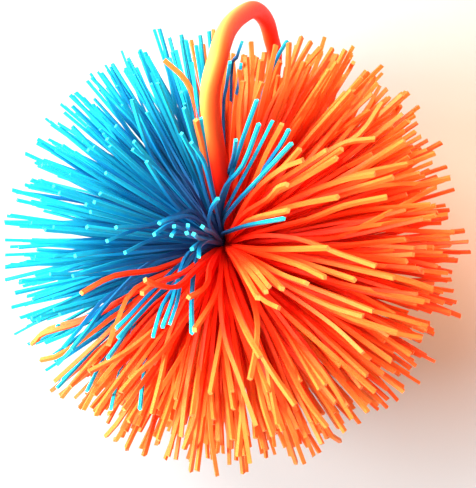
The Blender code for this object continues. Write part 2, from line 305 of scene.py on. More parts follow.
# %% Path of one strand
JITTER = 0.42  # how far a strand strays in its own patch of the ball, which is 1 wide
LENGTHS = (0.80, 1.06, 0.95)  # shortest, longest and most usual, as shares of the ball's radius
TWIST = 1.2  # radians that a strand turns on its way, at most
CUT_SLOPE = 0.24  # steepest slope of a cut end
LUCK = 0.7  # share of a strand's shade that is left to luck
ORANGE_LUCK_AND_PAINTED_LIGHT = (0.58, 0.40, 0.12)  # weight of luck, and of painted light for pointing along Y either way and for pointing to +Y
BLUE_LUCK_AND_PAINTED_LIGHT = (0.8, 0.34, 0.30)  # weight of luck, and of painted light for pointing along X and for pointing along Y
BEND = ((0.27, 0.80), (0.64, 0.96), (1.0, 1.0))  # share of the length, share of the final angle
SWAY = (1.6 * MM, 1.8 * MM, 0.7 * MM)  # at each of those stops
LEVEL_FROM = (55 * DEG, 88 * DEG)  # strands that end this far from the axis bend over sooner
LEVEL_BEND = 0.85  # by this share of what is left of their bend
STILL_BESIDE_LEG = 20 * DEG  # strands this close to the near leg sway less
# Directions in which the ball is cut longer or shorter, by which share, and how narrowly
UNEVEN = ((50 * DEG, 0.06, 4), (350 * DEG, 0.03, 3), (270 * DEG, -0.035, 2))
LEAN = Vector((-0.85, 0.85, 0.0)) * MM  # the loop pulls the upper mouth a little off the axis
LEAN_FROM = (2 * MM, 9 * MM)  # it sets in above the tie
LEAN_UNTIL = (14 * MM, 34 * MM)  # and is lost towards the tips
RISE = 4 * MM  # a strand is aimed from this far behind its square, so it leaves the tie straight
SECTIONS = 3  # from one place of a strand to the next
MOUTH = (226, 244)  # where the strands burst out, in the picture
BURST = 10.0 * MM  # how far out the upper strands let go of each other
NECK = (0.25, 0.45, 0.6)  # share of its spread that a strand of each ring has there
NECK_SHARE = 0.92  # a named strand stays with the others for this share of the way there
NECK_ROOM = 3 * MM  # one whose first place is within this of the burst goes straight to it


def tone_and_painted_light_of(colour, azimuth, luck):
    """How light a strand is painted: partly luck, and partly painted light by the direction it points in.
    """
    x, y = math.cos(azimuth), math.sin(azimuth)
    if colour == "orange":
        chance, along_y, up = ORANGE_LUCK_AND_PAINTED_LIGHT
        return chance * luck + along_y * y ** 2 + up * max(0.0, y)
    chance, along_x, along_y = BLUE_LUCK_AND_PAINTED_LIGHT
    return chance * luck + along_x * x ** 4 + along_y * y ** 8


class Strand:
    """One free end of a strand, between its square in the tie and its cut tip."""

    def __init__(self, bundle, side, row, column):
        rng = bundle.rng
        down = (row + 0.5 + rng.uniform(-JITTER, JITTER)) / bundle.deep
        top, bottom = bundle.heights
        self.bundle, self.side, self.row, self.column = bundle, side, row, column
        self.polar = math.acos(top + (bottom - top) * down)
        across = (column + 0.5 + rng.uniform(-JITTER, JITTER)) / bundle.across
        self.azimuth = bundle.middle + (across - 0.5) * bundle.span
        self.width = WIDTH[bundle.colour] * rng.uniform(THINNEST[bundle.colour], 1.0)
        self.length = BALL_RADIUS * rng.triangular(*LENGTHS)
        for middle, change, narrow in UNEVEN:
            self.length *= 1.0 + change * max(0.0, math.cos(self.azimuth - middle)) ** narrow
        self.sway = [(size * rng.uniform(-1, 1), size * rng.uniform(-1, 1)) for size in SWAY]
        self.twist = rng.uniform(-TWIST, TWIST)
        self.cut = (rng.uniform(-CUT_SLOPE, CUT_SLOPE), rng.uniform(-CUT_SLOPE, CUT_SLOPE))
        # Painted light: besides a random tone, a strand is painted lighter by the direction it points in
        self.tint = tone_and_painted_light_of(bundle.colour, self.azimuth, LUCK * rng.random())
        self.named = None
        self.cling = 0.0
        tip = self.place(*BEND[-1], (0.0, 0.0))
        beside = math.atan2(tip.y, tip.x)
        aside = min((turn_between(tuft * DEG, beside) for tuft in TUFTS[bundle.colour]), key=abs)
        aside = max(-TUFT_REACH, min(TUFT_REACH, aside))
        self.cling = aside * CLING[bundle.colour] * ease(*CLING_FROM, self.polar)

    def place(self, share, bend, sway):
        """Where the strand's middle is at a share of its length."""
        distance = share * self.length
        bend += (1.0 - bend) * LEVEL_BEND * ease(*LEVEL_FROM, self.polar)
        polar = self.polar * bend + sway[0] * share / distance
        room = cord_radius(distance) + 0.5 * self.width
        if self.side > 0:
            room *= ease(*NEAR_LEG_FROM, self.polar) * (1.0 - ease(*NEAR_LEG_UNTIL, self.polar))
        axis_distance = distance * math.sin(polar)
        azimuth = part_round_leg(self.azimuth, self.side, distance, room, axis_distance)
        azimuth += self.cling * share ** CLING_CURVE
        beside_leg = abs(turn_between(azimuth, NEAR_LEG))
        azimuth += sway[1] * share / axis_distance * ease(0.0, STILL_BESIDE_LEG, beside_leg)
        point = spherical(polar, azimuth, distance)
        point.z = point.z * self.side - DROOP * share ** 2 * math.sin(polar) ** 2
        return point

    def trim(self):
        """Cut the strand short under the finger loop, and end it level on the table."""
        tip = self.place(*BEND[-1], self.sway[-1])
        polar, azimuth = tip.angle(Vector((0, 0, 1))), math.atan2(tip.y, tip.x)
        reach = FINGER_WINDOW / 2 / BALL_RADIUS
        beside = abs(turn_between(azimuth, arc_azimuth(polar)))
        if OUTER_ARC[0] < polar < OUTER_ARC[1] + reach and beside < reach:
            self.length = min(self.length, BALL_RADIUS - FINGER_ROOM)
        self.stands = -tip.z + self.width / 2 > CENTRE.z
        if self.stands:
            self.length *= CENTRE.z / -tip.z

    def named_places(self, root):
        """Where a strand goes that is named by where it is seen."""
        spans = [math.dist(spot, MOUTH) for spot in self.named]
        free = self.length - BURST
        places = [seen_at(*spot, BURST + free * (span / spans[-1]) ** self.arch)
                  for spot, span in zip(self.named, spans)]
        neck = places[0].normalized() * BURST
        neck.xy *= NECK[self.bundle.ring]
        if places[0].length > BURST + NECK_ROOM:
            places.insert(0, root.lerp(neck, NECK_SHARE))
        return places

    def line(self, root):
        """The smooth line of the strand's middle, from its square in the tie."""
        self.stands = False
        if self.named:
            places = self.named_places(root)
        else:
            self.trim()
            places = [self.place(*stop, sway) for stop, sway in zip(BEND, self.sway)]
            if self.stands:
                places[-1].z = -CENTRE.z
        if self.side > 0:
            places = [p + LEAN * ease(*LEAN_FROM, p.length) * (1 - ease(*LEAN_UNTIL, p.length))
                      for p in places]
        before = root - Vector((0, 0, self.side * RISE))
        after = 2 * places[-1] - places[-2]
        return smooth_through([before, root] + places + [after], SECTIONS)


strands = [Strand(b, side, row, column) for b in bundles for side in (-1, 1)
           for row in range(b.deep) for column in range(b.across)]
print(f"{len(strands)} strands placed, {sum(s.bundle.colour == 'blue' for s in strands)} of them blue")

# %% [markdown]
# Nobody could match a fan of strands by luck. The strands that catch the eye in the picture are therefore
# named one by one, by a few places along each of them in pixels, the last one its tip. Blue comes first:
# the strands whose tips point at the lens, those that lie over the blue sector, those that hang under it
# at the lower left, those seen inside the finger loop, and the bright ones that stray over the orange.

# %% Blue front strands
BLUE_NEAR = (
    ((196, 220), (172, 219), (159.3, 223.3)), ((196, 232), (172, 224), (154.2, 234.5)),
    ((199, 240), (186, 232), (174, 226.3)), ((196, 238), (178, 231), (171.5, 235.5)),
    ((205, 236), (190, 229), (187.8, 225.3)), ((206, 241), (191, 236), (186.6, 233)),
    ((210, 243), (198, 238), (193.6, 234)), ((216, 236), (206, 230), (202.3, 226.7)),
    ((213, 242), (198, 244), (191.9, 249.2)), ((214, 244), (200, 246), (198.9, 257)),
    ((213, 228), (211, 210), (218, 198.5)), ((200, 218), (184, 216), (150, 226), (116, 227.5)),
    ((160, 229), (133, 231), (107, 241)), ((190, 238), (153, 240), (125, 252.7)),
    ((130, 265), (72.8, 276)), ((130, 250), (75, 256)),
)
BLUE_FRONT = (
    ((205, 228), (180, 209), (160, 183), (146.6, 161.5)), ((200, 215), (165, 175), (132.5, 149.3)),
    ((134, 141.5),), ((194, 190), (178, 169), (160, 134), (147, 112)),
    ((190, 205), (158, 165), (144, 138), (132, 99.5)),
    ((221, 220), (213, 196), (205, 160), (198, 112), (192, 62)),
    ((219, 224), (209, 196), (198, 165), (181.5, 133.5)),
    ((222, 216), (214, 192), (204, 162), (191.3, 142.5)),
    ((222, 212), (214, 184), (206, 150), (201, 118)), ((220, 216), (211, 190), (197, 150), (184, 108)),
    ((150.8, 84),), ((157.7, 83),), ((100, 193.5),), ((94.2, 202),), ((85.8, 204.5),), ((90.4, 212),),
    ((105.7, 173),), ((88, 150),), ((93.4, 147),), ((110, 146),), ((107, 139),), ((115.6, 126),),
    ((86.8, 227),), ((59, 193),), ((53.6, 186),), ((45, 230),),
    ((160, 262), (112, 300), (88, 329), (71.5, 349)), ((120, 290), (80, 328), (63, 348)),
    ((190, 265), (155, 291), (130, 315), (116.5, 328)), ((195, 268), (165, 292), (140, 314), (118, 338)),
    ((200, 262), (181, 285), (163, 306), (153, 337)), ((205, 252), (188, 263), (173, 300), (162.5, 327)),
    ((203, 256), (186, 272), (178, 300), (170, 323.5)), ((205, 255), (197, 275), (192, 305), (192, 333)),
    ((130, 290), (80, 327), (45, 343)), ((110, 315), (57, 365)), ((262, 100), (276, 60), (287, 41)),
    ((84, 77),), ((100, 71),), ((70, 95),), ((56, 100),), ((45, 120),), ((27, 133),), ((35, 142),),
    ((20, 151),), ((42, 165),), ((31, 180),), ((12, 190),), ((17, 200),), ((10, 215),), ((5, 223),),
    ((5, 240),), ((3, 255),), ((5, 267),), ((15, 293),), ((20, 318),), ((145, 52),), ((128, 58),),
    ((168, 33),), ((186, 40),), ((209, 31),), ((176, 50),), ((196, 45),),
)
BLUE_UNDER = (
    ((150, 310), (120, 342), (108, 358)), ((172, 305), (152, 345), (144, 379), (140, 409)),
    ((150, 310), (123, 367), (111, 409)), ((150, 290), (107, 333), (80, 361), (57, 388)),
    ((120, 340), (87, 391)),
)
BLUE_INSIDE = (
    ((232, 78), (237, 57), (242, 42)), ((236, 120), (239, 85), (241, 64)),
    ((226, 120), (227, 85), (230, 62)), ((223, 214), (230, 186), (234, 160), (236, 140)),
)
BLUE_BRIGHT = (
    ((227, 215), (233, 185), (243, 140), (257, 100)), ((224, 216), (229, 189), (244, 166), (259, 124)),
    ((228, 224), (236, 203), (254, 160), (272.5, 121)), ((258, 185), (280, 146), (289, 129.5)),
    ((228, 228), (240, 208), (256, 186), (291.5, 143.5)),
    ((227, 241), (236, 236), (252, 228), (284, 218.5)),
)
blue_tables = (BLUE_BRIGHT, BLUE_NEAR, BLUE_INSIDE, BLUE_FRONT, BLUE_UNDER)
print(f"{sum(len(table) for table in blue_tables)} blue strands named")

# %% [markdown]
# The orange strands follow in the same way: first those in full light, which are most of them, and then
# the few that cross the blue sector in the shade of the others.

# %% Orange front strands
ORANGE_FRONT = (
    ((250, 262), (266, 273), (282.4, 289)), ((246, 262), (258, 273), (269, 286.5)),
    ((243, 264), (254, 277), (266, 292)), ((240, 264), (248, 280), (258, 298)),
    ((247, 280), (262, 299), (279, 308)), ((255, 262), (283, 275), (307, 283.5)),
    ((262, 257), (298, 265), (325, 277.5)), ((262, 253), (290, 250.5), (328, 248)),
    ((280, 258), (318, 268), (354.7, 280)), ((262, 241), (300, 241), (340, 254), (376, 266)),
    ((270, 256), (320, 262), (360, 270), (394, 278)), ((300, 260), (395, 277), (433, 289)),
    ((290, 272), (340, 285), (382, 293), (424, 302)), ((270, 272), (300, 284), (340, 298), (373, 311)),
    ((268, 276), (295, 290), (330, 306), (363, 316)), ((330, 309), (397, 333)),
    ((300, 290), (350, 306), (390, 315), (427, 326)), ((330, 312), (380, 330), (421, 338)),
    ((262, 278), (300, 302), (335, 327), (363, 353)), ((258, 285), (290, 318), (330, 353), (375, 392)),
    ((265, 295), (300, 342), (326, 376), (352, 418)), ((258, 300), (285, 358), (305, 398), (327, 427)),
    ((235, 290), (252, 335), (272, 372), (295, 405)), ((233, 295), (245, 330), (260.5, 357)),
    ((247, 280), (258, 315), (256, 348), (250, 379)), ((245, 300), (266, 360), (271, 388), (278, 424)),
    ((240, 320), (257, 375), (263, 405), (273, 436)), ((225, 300), (227, 340), (238, 375), (256, 426)),
    ((232, 340), (241, 395), (244, 425), (250, 463)), ((230, 360), (238, 420), (244, 490)),
    ((236, 340), (243, 395), (238, 456)), ((205, 320), (192, 365), (185, 400), (181, 437)),
    ((212, 320), (202, 370), (196, 415), (184, 449)), ((195, 295), (172, 335), (162, 374), (152, 414)),
    ((205, 380), (197, 430), (190, 475)), ((215, 350), (210, 420), (217, 475)), ((197, 471),),
    ((168, 456),), ((158, 440),), ((262, 360), (283, 425), (296, 463)),
    ((270, 370), (290, 425), (304, 463)), ((314, 456),), ((322, 444),), ((320, 418), (340, 441)),
    ((345, 432),), ((368, 412),), ((255, 198), (280, 170), (303, 160)),
    ((262, 190), (283, 168), (300, 149)), ((250, 205), (266, 155), (282, 124)),
    ((262, 200), (295, 172), (327, 150)), ((270, 205), (310, 172), (342, 149)),
    ((268, 205), (305, 178), (336.5, 158)), ((285, 190), (320, 160), (345, 143), (375, 139)),
    ((280, 190), (329, 152), (359, 135), (382, 103)), ((246, 220), (268, 200), (278, 188), (287, 184.5)),
    ((250, 225), (288, 210.5)), ((262, 222), (295, 207), (338, 197)),
    ((265, 237), (310, 222), (345, 206), (387, 197)), ((290, 205), (340, 181), (375, 174)),
    ((290, 212), (330, 187), (365, 173), (407, 164)), ((320, 200), (390, 170), (430, 155)),
    ((295, 212), (345, 192), (370, 184), (393, 177)), ((300, 215), (380, 186), (436, 184)),
    ((300, 243), (340, 239), (380, 218), (436, 187)), ((330, 235), (375, 226), (447, 214)),
    ((330, 250), (400, 241), (466, 234)), ((360, 255), (400, 250), (450, 245)), ((448, 256),),
    ((380, 266), (447, 273)), ((440, 159),), ((445, 176),), ((425, 134),), ((360, 168), (415, 132)),
    ((262, 200), (292, 137), (310, 104), (337, 55)), ((255, 190), (290, 88), (320, 48)),
    ((262, 180), (299, 103), (322, 66), (336, 42)), ((260, 170), (290, 80), (311, 42)),
    ((250, 190), (270, 113), (285, 82), (302, 36)), ((262, 150), (285, 85), (289, 43)),
    ((252, 160), (266, 88), (276, 45)), ((290, 170), (345, 77), (360, 52)),
    ((290, 190), (348, 113), (377, 74)), ((300, 190), (360, 118), (382, 84)),
    ((310, 185), (373, 135), (400, 110), (412, 96)), ((300, 190), (362, 132), (408, 91)),
    ((310, 195), (356, 163), (389, 137), (422, 112)), ((238, 200), (241, 155), (239, 115), (243, 81)),
    ((245, 180), (250, 120), (262, 82)), ((248, 130), (252, 75), (251, 42)),
    ((250, 150), (259, 90), (265, 52)), ((248, 150), (256, 95), (261, 60)),
    ((244, 140), (247, 90), (246, 57)), ((240, 140), (242, 100), (240, 70)),
    ((190, 270), (136, 290), (117, 322), (108.5, 345)), ((190, 300), (165, 324), (128, 351), (89, 372)),
    ((205, 300), (165, 350), (137, 374), (121, 392)), ((170, 310), (105, 375), (84, 409)),
    ((180, 310), (110, 392), (96, 415)), ((180, 330), (125, 412), (106, 436)), ((127, 422), (115, 440)),
    ((135, 430), (127, 449)), ((170, 290), (93, 360), (62, 397)), ((160, 290), (102, 339), (55, 381)),
    ((150, 295), (68, 350), (41, 360)), ((160, 285), (92, 316), (50, 328), (32, 344)),
    ((150, 290), (88, 320), (45, 333), (36, 341)), ((210, 170), (197, 110), (186, 81), (164, 60)),
    ((212, 190), (203, 150), (196, 120)),
)
ORANGE_SHADED = (
    ((214, 268), (209, 283), (201, 291), (188.5, 297.5)),
    ((200, 272), (178, 287), (157, 285), (145, 280)), ((205, 265), (184, 276), (157, 283), (142, 293.5)),
    ((205, 258), (160, 272), (115, 276), (81.5, 293)), ((222, 285), (213, 303), (194.5, 330)),
)
print(f"{len(ORANGE_FRONT) + len(ORANGE_SHADED)} orange strands named")

# %% [markdown]
# Each name is given to the free strand of its colour that already points closest to it. New strands could
# be added instead, but this way the count stays the same and each one still starts in its own square of
# the tie. A strand's depth can't be read from one picture, so it gains height almost evenly along its
# way. A table may ask for a later rise, and then its strands pass under the others. The strands that are
# left over keep low near the mouth, so that they don't cover the named ones.

# %% Give each name to a strand
ARCH = 0.9  # how a strand gains height: below 1 early, above 1 late
NAMED_LENGTH = (0.97, 0.06)  # share of the ball's radius, and what a light strand has more
NAMED_WIDTH = (0.90, 0.10)  # the same, as a share of the full width
NAMED_LUCK = 0.25  # how much of a strand's own tone and painted light stays
CROSSING = 60 * DEG  # how far off a strand counts as when the finger loop is in between
FOUNTAIN = 0.84  # share of its height that a strand left to chance keeps
STRAY_POLAR = 80 * DEG  # where the blue strands go that are left over among the orange ones
STRAY_SPREAD = (10, 110)  # degrees into the blue sector


def name_front_strands(colour, table, painted_brightness, arch=ARCH):
    """Give each name to the free upper strand of that colour that points closest to it."""
    free = [s for s in strands if s.bundle.colour == colour and s.side > 0 and not s.named]

    def far_from(strand, aim, azimuth):
        """How far a strand points from the aim, and more if the finger loop is in between."""
        sides = turn_between(azimuth, NEAR_LEG) * turn_between(strand.azimuth, NEAR_LEG)
        extra = CROSSING if colour == "blue" and sides < 0 else 0.0
        return spherical(strand.polar, strand.azimuth, 1.0).angle(aim) + extra

    for places in table:
        aim = seen_at(*places[-1], BALL_RADIUS)
        azimuth = math.atan2(aim.y, aim.x)
        strand = min(free, key=lambda s: far_from(s, aim, azimuth))
        strand.named = places
        strand.length = BALL_RADIUS * (NAMED_LENGTH[0] + NAMED_LENGTH[1] * strand.tint)
        strand.width = WIDTH[colour] * (NAMED_WIDTH[0] + NAMED_WIDTH[1] * strand.tint)
        strand.tint = painted_brightness + NAMED_LUCK * strand.tint
        strand.arch = arch
        free.remove(strand)
    print(f"{len(table)} {colour} strands found, {len(free)} left to chance")


# Painted light and shade: each table's strands are painted lighter or darker by its brightness, as they
# look lit or shaded
name_front_strands("blue", BLUE_BRIGHT, painted_brightness=0.45)
name_front_strands("blue", BLUE_NEAR, painted_brightness=0.10)
name_front_strands("blue", BLUE_INSIDE, painted_brightness=0.20, arch=1.8)
name_front_strands("blue", BLUE_FRONT, painted_brightness=0.33)
name_front_strands("blue", BLUE_UNDER, painted_brightness=0.45, arch=2.0)
name_front_strands("orange", ORANGE_SHADED, painted_brightness=0.20)
name_front_strands("orange", ORANGE_FRONT, painted_brightness=1.0)
for strand in strands:
    if strand.side > 0 and not strand.named:
        strand.polar = math.acos(math.cos(strand.polar) * FOUNTAIN)
        if strand.bundle.colour == "blue" and turn_between(strand.bundle.middle, NEAR_LEG) < 0:
            strand.azimuth = BLUE_SECTOR[0] + strand.bundle.rng.uniform(*STRAY_SPREAD) * DEG
            strand.polar = STRAY_POLAR

# %% [markdown]
# Every strand of a bundle grows out of one block, the part that the tie squeezes. The block's two faces
# are cut into squares, one a strand, and each square is extruded along its line, a section at a time,
# while it swells from the squeezed size to its full width. The section is carried along without sudden
# turns, and turns a little on purpose, because a real strand never lies flat. The long edges stay sharp
# and the sections are shaded smoothly. Curves with a square bevel would be shorter to write, but they
# leave 1740 loose tubes, and this way a bundle is one closed mesh.

# %% Grow the strands of a bundle
FULL_WIDTH_AT = (3 * MM, 10.5 * MM)  # a strand swells between these distances from the ball's centre


def split_block(deep, across):
    """A unit block whose top and bottom faces are split into one square a strand."""
    bm = bmesh.new()
    bmesh.ops.create_cube(bm, size=1.0)
    for axis, cuts in ((0, deep - 1), (1, across - 1)):
        lines = [e for e in bm.edges if abs((e.verts[1].co - e.verts[0].co)[axis]) > 0.5]
        bmesh.ops.subdivide_edges(bm, edges=lines, cuts=cuts, use_grid_fill=True)
    return bm


def squeeze_block(bm, bundle):
    """Bend the unit block into the bundle's place in the tie."""
    for vert in bm.verts:
        radius = bundle.inner + (vert.co.x + 0.5) * (bundle.outer - bundle.inner)
        half = bundle.span / 2 - math.asin(GAP / 2 / radius)
        azimuth = bundle.middle + vert.co.y * 2 * half
        height = math.copysign(WAIST, vert.co.z)
        vert.co = Vector((radius * math.cos(azimuth), radius * math.sin(azimuth), height))
    bm.normal_update()


def square_of(bm, bundle):
    """The block's end squares, by side, row and column."""
    found = {}
    for face in bm.faces:
        if abs(face.normal.z) > 0.5:
            centre = face.calc_center_median()
            turn = turn_between(math.atan2(centre.y, centre.x), bundle.middle)
            row = int((centre.xy.length - bundle.inner) / (bundle.outer - bundle.inner) * bundle.deep)
            column = int((turn / bundle.span + 0.5) * bundle.across)
            found[int(math.copysign(1, centre.z)), row, column] = face
    return found


def grow(bm, face, strand, along, tint, cut):
    """Extrude one square of the block into a strand, section by section."""
    middle = face.calc_center_median()
    deep = Vector((middle.x, middle.y, 0)).normalized()
    across = Vector((0, 0, 1)).cross(deep)
    line = strand.line(middle.copy())
    tangent = Vector((0, 0, strand.side))
    small = math.sqrt(face.calc_area())
    for i in range(1, len(line)):
        last = i == len(line) - 1
        ahead = line[i] - line[i - 1] if last else line[i + 1] - line[i - 1]
        if last and strand.stands:
            ahead = Vector((0, 0, -1))
        ahead.normalize()
        follow = tangent.rotation_difference(ahead).to_matrix()
        carry = Matrix.Rotation(strand.twist / len(line), 3, ahead) @ follow
        next_deep, next_across = carry @ deep, carry @ across
        width = small + (strand.width - small) * ease(*FULL_WIDTH_AT, line[i].length)
        face = bmesh.ops.extrude_discrete_faces(bm, faces=[face])["faces"][0]
        for vert in face.verts:
            away = vert.co - middle
            a = math.copysign(width / 2, away.dot(deep))
            b = math.copysign(width / 2, away.dot(across))
            vert.co = line[i] + next_deep * a + next_across * b
            if last and not strand.stands:
                vert.co += ahead * (a * strand.cut[0] + b * strand.cut[1])
            vert[along] = i / (len(line) - 1)
            vert[tint] = strand.tint
        middle, deep, across, tangent = line[i], next_deep, next_across, ahead
    face[cut] = 1.0


def as_mesh(bm, name):
    """Turn finished mesh code into a mesh of that name."""
    mesh = bpy.data.meshes.new(name)
    bm.to_mesh(mesh)
    bm.free()
    return mesh


def bundle_mesh(bundle):
    """The whole bundle, from one set of cut tips through the tie to the other."""
    bm = split_block(bundle.deep, bundle.across)
    squeeze_block(bm, bundle)
    along = bm.verts.layers.float.new("along")
    tint = bm.verts.layers.float.new("tint")
    cut = bm.faces.layers.float.new("cut")
    squares = square_of(bm, bundle)
    for strand in strands:
        if strand.bundle is bundle:
            grow(bm, squares[strand.side, strand.row, strand.column], strand, along, tint, cut)
    for face in bm.faces:
        face.smooth = True
    for edge in bm.edges:
        a, b = edge.verts
        edge.smooth = a[along] == b[along] and a[along] > 0 and not any(f[cut] for f in edge.link_faces)
    bmesh.ops.translate(bm, vec=CENTRE, verts=bm.verts)
    return as_mesh(bm, bundle.name)


meshes = {bundle.name: bundle_mesh(bundle) for bundle in bundles}
print(f"{sum(len(mesh.polygons) for mesh in meshes.values())} faces in the strands")

# %% [markdown]
# Shader maths is easier to read as an expression than as a web of nodes. The small class below wraps a
# socket, so that adding or multiplying two of them adds the Math node and its links. Every other kind of
# node comes from one method, which sets what the node is before it connects it.

# %% Sockets as numbers


class Term:
    """A number that varies over a surface: a socket that can be used in a Python expression."""

    def __init__(self, finish, socket):
        self.finish, self.socket = finish, socket

    def maths(self, operation, *values):
        """A Math node over this and other values."""
        return self.finish.node("ShaderNodeMath", {"operation": operation}, dict(enumerate(values)))

    def __add__(self, other):
        return self.maths("ADD", self, other)

    def __sub__(self, other):
        return self.maths("SUBTRACT", self, other)

    def __rsub__(self, other):
        return self.maths("SUBTRACT", other, self)

    def __mul__(self, other):
        return self.maths("MULTIPLY", self, other)

    __radd__, __rmul__ = __add__, __mul__


class Finish:
    """A material that is being made."""

    def __init__(self, name, **constants):
        self.material = bpy.data.materials.new(name)
        self.material.use_nodes = True
        self.nodes = self.material.node_tree.nodes
        self.shader = self.nodes["Principled BSDF"]
        for socket, value in constants.items():
            self.shader.inputs[socket.replace("_", " ")].default_value = value

    def join(self, socket, value):
        """Put a value, a colour or another node's output into a socket."""
        if isinstance(value, Term):
            self.material.node_tree.links.new(value.socket, socket)
        elif socket.type == "RGBA":
            socket.default_value = (*value, 1.0)
        else:
            socket.default_value = value

    def node(self, kind, settings, sockets, output=0):
        """A node of any type: its settings first, then the values or links of its sockets."""
        made = self.nodes.new(kind)
        for setting, value in settings.items():
            if setting == "stops":
                ramp = made.color_ramp.elements
                between = [ramp.new(0.5) for _ in value[1:-1]]
                for element, (position, colour) in zip((ramp[0], *between, ramp[-1]), value):
                    element.position, element.color = position, (*colour, 1.0)
            else:
                setattr(made, setting, value)
        for socket, value in sockets.items():
            self.join(made.inputs[socket], value)
        return Term(self, made.outputs[output])

    def attribute(self, name):
        """A value that the mesh carries."""
        return self.node("ShaderNodeAttribute", {"attribute_name": name}, {}, "Fac")

    def noise(self, scale, detail=2.0):
        """Cloudy variation in the piece's own space, with a scale in lumps a metre."""
        place = self.node("ShaderNodeTexCoord", {}, {}, "Object")
        lumps = {"Vector": place, "Scale": scale, "Detail": detail}
        return self.node("ShaderNodeTexNoise", {}, lumps, "Fac")

    def mix(self, factor, a, b):
        """A blend of two colours."""
        return self.node("ShaderNodeMix", {"data_type": "RGBA"}, {0: factor, 6: a, 7: b}, 2)

    def ramp(self, factor, *stops):
        """A colour from a scale of colours."""
        return self.node("ShaderNodeValToRGB", {"stops": stops}, {"Fac": factor}, "Color")

    def finish(self, colour, roughness, bump, depth):
        """Connect what varies: colour, roughness and the surface's fine relief."""
        self.join(self.shader.inputs["Base Color"], colour)
        self.join(self.shader.inputs["Roughness"], roughness)
        relief = {"Height": bump, "Distance": depth, "Strength": 1.0}
        self.join(self.shader.inputs["Normal"], self.node("ShaderNodeBump", {}, relief, "Normal"))
        return self.material


print("sockets can now be added, subtracted and multiplied")

# %% [markdown]
# The strands are cut from a sheet of soft coloured rubber. Their colour is painted deep near the tie,
# painted shade where the strands crowd together, and lighter towards the tip, painted light. The cut end
# is paler than the skin. Light goes a little way into the rubber, which softens the shadows between the
# strands. Separate materials for light and dark strands would do, but here the mesh carries how far along
# and how light each strand is painted, and one ramp of colours a dye takes care of all of them. Faint
# clouds of deeper dye and a fine grain left by the cutting knives do the rest.

# %% Rubber of the strands
LIGHT_REACH = 1.2 * MM
SHADE_RISE, SHADE_FALL = 1.9, 1.4  # how fast a strand's tone and painted light begin to count, and ease off
CLOUD_START, CLOUD_STRENGTH = 0.35, 0.25
SATIN = 0.45  # least roughness of all the rubber


def strand_rubber(name, painted_shade_to_light_dyes, stops, end, fresh, glow, gloss):
    """Rubber with painted shade deep at the tie and painted light at the tip, and a pale cut end."""
    rubber = Finish(name, Specular_IOR_Level=gloss, Subsurface_Weight=0.3, Subsurface_Radius=glow,
                    Subsurface_Scale=LIGHT_REACH)
    along = rubber.attribute("along")
    strand_tone_and_light = rubber.attribute("tint")
    # A strand painted light is ahead on the ramp and one painted dark behind, more and more towards the
    # tip
    place = along + (strand_tone_and_light - 0.5) * along * along * along * (SHADE_RISE - along * SHADE_FALL)
    colour = rubber.ramp(place, *zip(stops, painted_shade_to_light_dyes))
    cloud = rubber.noise(scale=900.0)
    colour = rubber.mix((cloud - CLOUD_START) * CLOUD_STRENGTH, colour, painted_shade_to_light_dyes[0])
    colour = rubber.mix(rubber.attribute("cut") * fresh, colour, end)
    grain = rubber.noise(scale=5200.0, detail=3.0)
    return rubber.finish(colour, roughness=SATIN + grain * 0.16, bump=grain, depth=0.05 * MM)


# The deep end of each ramp is painted shade; the deep blue is purple, a painted reflection of the orange
# strands
rubbers = {
    "orange": strand_rubber(
        "orange_rubber", painted_shade_to_light_dyes=((1.0, 0.010, 0.002), (1.0, 0.047, 0.004), (1.0, 0.22, 0.033)),
        stops=(0.28, 0.70, 1.0), end=(1.0, 0.38, 0.10), fresh=0.55, glow=(1.0, 0.3, 0.1), gloss=0.22),
    "blue": strand_rubber(
        "blue_rubber", painted_shade_to_light_dyes=((0.032, 0.015, 0.11), (0.001, 0.18, 0.39), (0.016, 0.62, 0.78)),
        stops=(0.17, 0.70, 0.97), end=(0.06, 0.74, 0.80), fresh=0.75, glow=(0.1, 0.5, 1.0), gloss=0.10),
}
print(f"{len(rubbers)} rubbers mixed for the strands")

# %% [markdown]
# Now each bundle's mesh becomes an object, which takes the place of its solid. The solid stays behind for
# collision, hidden. All strands could be one object, but then a bundle couldn't be told from its
# neighbours. A bundle rides on the only body, because nothing on this ball turns on a joint.

# %% Put the bundles in place


def add_piece(name, mesh, material):
    """Show a finished mesh in place of the solid of the same name."""
    piece = add_object(f"{name}_shown", mesh)
    mesh.materials.append(material)
    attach(piece, "root")
    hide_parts(name)


for bundle in bundles:
    add_piece(bundle.name, meshes[bundle.name], rubbers[bundle.colour])
print(f"{len(bundles)} bundles put in place")

# %% [markdown]
# The finger loop is moulded as one closed ring of round rubber cord. A circle is extruded from place to
# place along the route and bridged to its start. Each vertex keeps its own angle round the cord in a
# layer, so every new ring of vertices can be set exactly, and the circle never twists, because its sides
# are measured from the loop's own plane. A curve with a round bevel would look the same, but it couldn't
# carry the values that colour the cord.

# %% Make the finger loop
CORD_SIDES = 20
LOOP_PLANE = Vector((math.cos(-2 * DEG), math.sin(-2 * DEG), 0.0))  # the direction square to it
# Painted light: the side of the cord that faces this way, towards the window, is painted golden
PAINTED_SUN_DIRECTION = Vector((-0.90, 0.35, 0.25)).normalized()
OUTSIDE = (20 * MM, 33 * MM)  # the cord comes out of the ball between these distances from its centre
# Painted light: the cord is painted this much lighter where it is out of the ball
PAINTED_LIGHT_OUTSIDE = 0.50
PAINTED_SHADE_RIGHT = 0.16  # painted shade: the right leg is painted this much darker
RIGHT_LEG = (1 * MM, 6 * MM)


def put_in_order(bm):
    """Sort edges and faces by their corners, because extruding a ring leaves them in any order."""
    bm.verts.index_update()
    count = len(bm.verts)
    for parts in (bm.edges, bm.faces):
        corners = {part: [vert.index for vert in part.verts] for part in parts}
        parts.sort(key=lambda part: max(corners[part]) * count + min(corners[part]))


